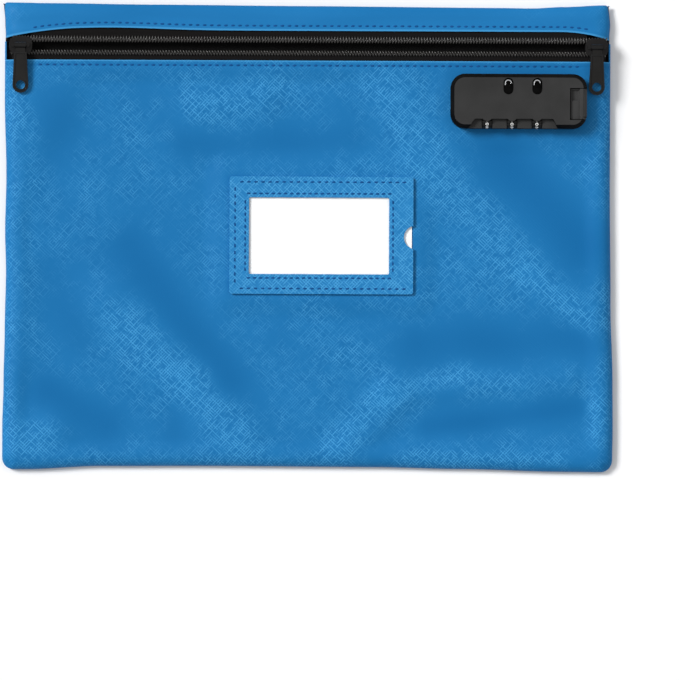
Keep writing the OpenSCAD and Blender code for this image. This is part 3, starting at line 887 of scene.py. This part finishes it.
def finishStitches(rows, nodeName):
    thread = joinAll(rows, nodeName + "_stitches")
    dress(thread, threadFinish)
    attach(thread, "bag")
    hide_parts(nodeName)


def makeStitches():
    step, windowStep = stitch["pitch"], stitch["windowPitch"]
    top = bag["top"] + 0.02
    y = bandEdge + stitch["fromEdge"]
    row = stitchRow((-164, y), (166, y), top, step, lambda x: bandEdgeAt(x) - bandEdge)
    finishStitches([row], "thread_band")
    y = panelEdge - stitch["fromEdge"]
    finishStitches([stitchRow((-160, y), (160, y), top, step)], "thread_panel")
    low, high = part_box("pocket_frame")
    left, right = low[0] / mm + 3.2, high[0] / mm - 1.5
    bottom, upper = low[1] / mm + 3.2, high[1] / mm - 3.2
    surface = high[2] / mm + 0.02
    finishStitches([
        stitchRow((left, upper), (right, upper), surface, step),
        stitchRow((left, bottom), (right, bottom), surface, step),
        stitchRow((left, bottom + 2), (left, upper - 2), surface, step),
    ], "thread_pocket")
    windowX, windowY, halfWide, halfHigh = 6.5, 0.2, 43.4, 24.8
    left, right = windowX - halfWide, windowX + halfWide
    bottom, upper = windowY - halfHigh, windowY + halfHigh
    finishStitches([
        stitchRow((left, upper), (right, upper), surface, windowStep),
        stitchRow((left, bottom), (right, bottom), surface, windowStep),
        stitchRow((left, bottom + 1.8), (left, upper - 1.8), surface, windowStep),
        stitchRow((right, bottom + 1.8), (right, upper - 1.8), surface, windowStep),
    ], "thread_window")
    print("stitches made")


makeStitches()


# ---------- pocket, sliders, pulls and lock ----------

def finishNode(nodeName, body, material, width, segments=2):
    piece = softCopy(nodeName, width, segments)
    dress(piece, material)
    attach(piece, body)
    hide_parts(nodeName)
    return piece


# the pulls lean down to their tips; the blade is the flat middle of their upper face, between thick rims
pullFace = {"hingeZ": 12.9, "up": Vector((0, -0.0941, 0.9956)), "rimAbove": 0.95}
hookFrom = 15.5  # the hooks of the latch bar are bright above this height, the bar below is black
# the steeper faces below this get a darker copy of the lock plastic, painted shade on the case's sides
caseTopUp = 0.93  # faces of the case that look up more than this belong to its satin top

pocket = finishNode("pocket_frame", "bag", pocketLeather, 0.3)
for side in ("left", "right"):
    finishNode("slider_" + side, side + "_slider", sliderLacquer, 0.4, 3)
    pull = finishNode("pull_" + side, side + "_pull", rimLacquer, 0.45, 3)
    pull.data.materials.append(bladeLacquer)
    hinge = [(a + b) / 2 for a, b in zip(*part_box("slider_" + side))]
    for face in pull.data.polygons:
        away = Vector((0, face.center.y - hinge[1], face.center.z - pullFace["hingeZ"] * mm))
        if face.normal.z > 0.97 and away.dot(pullFace["up"]) < pullFace["rimAbove"] * mm:
            face.material_index = 1
lockCase = finishNode("lock_case", "bag", lockPlastic, 0.3)
lockCase.data.materials.append(shadedLockEdge)
# painted shade on the sloping sides of the case
for face in lockCase.data.polygons:
    if face.normal.z < caseTopUp:
        face.material_index = 1
finishNode("release_button", "latch", buttonPlastic, 0.25)

latch = finishNode("latch_bar", "latch", blackSteel, 0.0)
latch.data.materials.append(steelFinish)
for face in latch.data.polygons:
    face.material_index = 1 if face.center.z > hookFrom * mm else 0

spring = finishNode("latch_spring", "bag", steelFinish, 0.0)
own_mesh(spring)

plainNodes = {
    "clear_window": clearFilm,
    "name_card": cardPaper,
    "lock_base": blackSteel,
    "lock_backing_plate": lockPlastic,
    "lock_screws": steelFinish,
    "dial_shaft": blackSteel,
    "detent_spring": blackSteel,
}
for nodeName, material in plainNodes.items():
    dressNode(nodeName, material)
for number in (1, 2, 3):
    dressNode("dial_" + str(number), dialPlastic)
    dressNode("dial_sleeve_" + str(number), brassFinish)

digits = {"radius": 3.905, "height": 1.8, "width": 1.75, "depth": 0.03, "phase": -20}


def makeDigits():
    # ten raised digits round each dial, the 0 on top
    for number, body in ((1, "first_dial"), (2, "second_dial"), (3, "third_dial")):
        low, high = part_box("dial_" + str(number))
        centre = [(a + b) / 2 for a, b in zip(low, high)]
        made = []
        for digit in range(10):
            deselectAll()
            bpy.ops.object.text_add()
            text = bpy.context.object
            text.data.body = str(digit)
            text.data.size = 1
            text.data.offset = 0.012
            text.data.extrude = 0.5
            text.data.resolution_u = 4
            bpy.ops.object.convert(target="MESH")
            text = bpy.context.object
            turn = math.radians(36 * digit + digits["phase"])
            points = [v.co for v in text.data.vertices]
            span = [(min(p[i] for p in points), max(p[i] for p in points)) for i in (0, 1)]
            size = (digits["width"] * (0.6 if digit == 1 else 1), digits["height"])
            for vertex in text.data.vertices:
                x, y = (
                    (vertex.co[i] - sum(span[i]) / 2) / (span[i][1] - span[i][0]) * size[i] * mm
                    for i in (0, 1)
                )
                radius = (digits["radius"] + digits["depth"] * vertex.co.z) * mm
                angle = y / radius + turn
                rise, lift = radius * math.sin(angle), radius * math.cos(angle)
                vertex.co = (centre[0] + x, centre[1] + rise, centre[2] + lift)
            made.append(text)
        row = joinAll(made, "dial_" + str(number) + "_digits")
        dress(row, digitPaint)
        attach(row, body)
    print("digits made")


makeDigits()


# ---------- floor, light and camera ----------

def makeStage():
    deselectAll()
    bpy.ops.mesh.primitive_plane_add(size=6, location=(0, 0, 0))
    floor = bpy.context.object
    floor.name = "floor"
    floor.data.transform(Matrix.Translation((0, 0, -0.0003)))
    material, tree = newMaterial("paleFloor")
    shader = node(tree, "ShaderNodeBsdfPrincipled")
    out = node(tree, "ShaderNodeOutputMaterial")
    link(tree, shader.outputs[0], out.inputs[0])
    shader.inputs["Base Color"].default_value = (0.88, 0.88, 0.885, 1)
    shader.inputs["Roughness"].default_value = 0.9
    shader.inputs["Specular IOR Level"].default_value = 0.1
    dress(floor, material)

    world = bpy.data.worlds.new("studio")
    bpy.context.scene.world = world
    world.use_nodes = True
    tree = world.node_tree
    sky = tree.nodes["Background"]
    axes = node(tree, "ShaderNodeSeparateXYZ")
    link(tree, node(tree, "ShaderNodeTexCoord").outputs["Generated"], axes.inputs[0])
    link(tree, remap(tree, axes.outputs["Z"], 0.0, 0.85, 0.12, 1.0, smooth=True), sky.inputs["Color"])
    sky.inputs["Strength"].default_value = 0.62

    sun = bpy.data.objects.new("keyLight", bpy.data.lights.new("keyLight", "SUN"))
    sun.data.energy = 2.9
    sun.data.angle = math.radians(20)
    bpy.context.scene.collection.objects.link(sun)
    aim = Vector((0.80, -0.44, -0.86))
    sun.rotation_euler = aim.to_track_quat("-Z", "Y").to_euler()

    strip = bpy.data.objects.new("stripLight", bpy.data.lights.new("stripLight", "AREA"))
    strip.data.shape = "RECTANGLE"
    strip.data.size = 0.12
    strip.data.size_y = 1.0
    strip.data.energy = 1.4
    bpy.context.scene.collection.objects.link(strip)
    strip.location = (1.0, 0.1, 1.0)
    strip.rotation_euler = (0, math.radians(45), 0)

    camera = bpy.data.objects.new("camera", bpy.data.cameras.new("camera"))
    bpy.context.scene.collection.objects.link(camera)
    away, width = 3.0, 0.399
    camera.location = (0.0188, -0.0609, away)
    camera.rotation_euler = (0, 0, math.radians(0.25))
    camera.data.sensor_fit = "HORIZONTAL"
    camera.data.sensor_width = 36
    camera.data.lens = 36 * (away - 0.009) / width
    camera.data.clip_end = 20
    bpy.context.scene.camera = camera
    bpy.context.scene.view_settings.view_transform = "Standard"
    print("stage made")


makeStage()

bpy.context.view_layer.update()
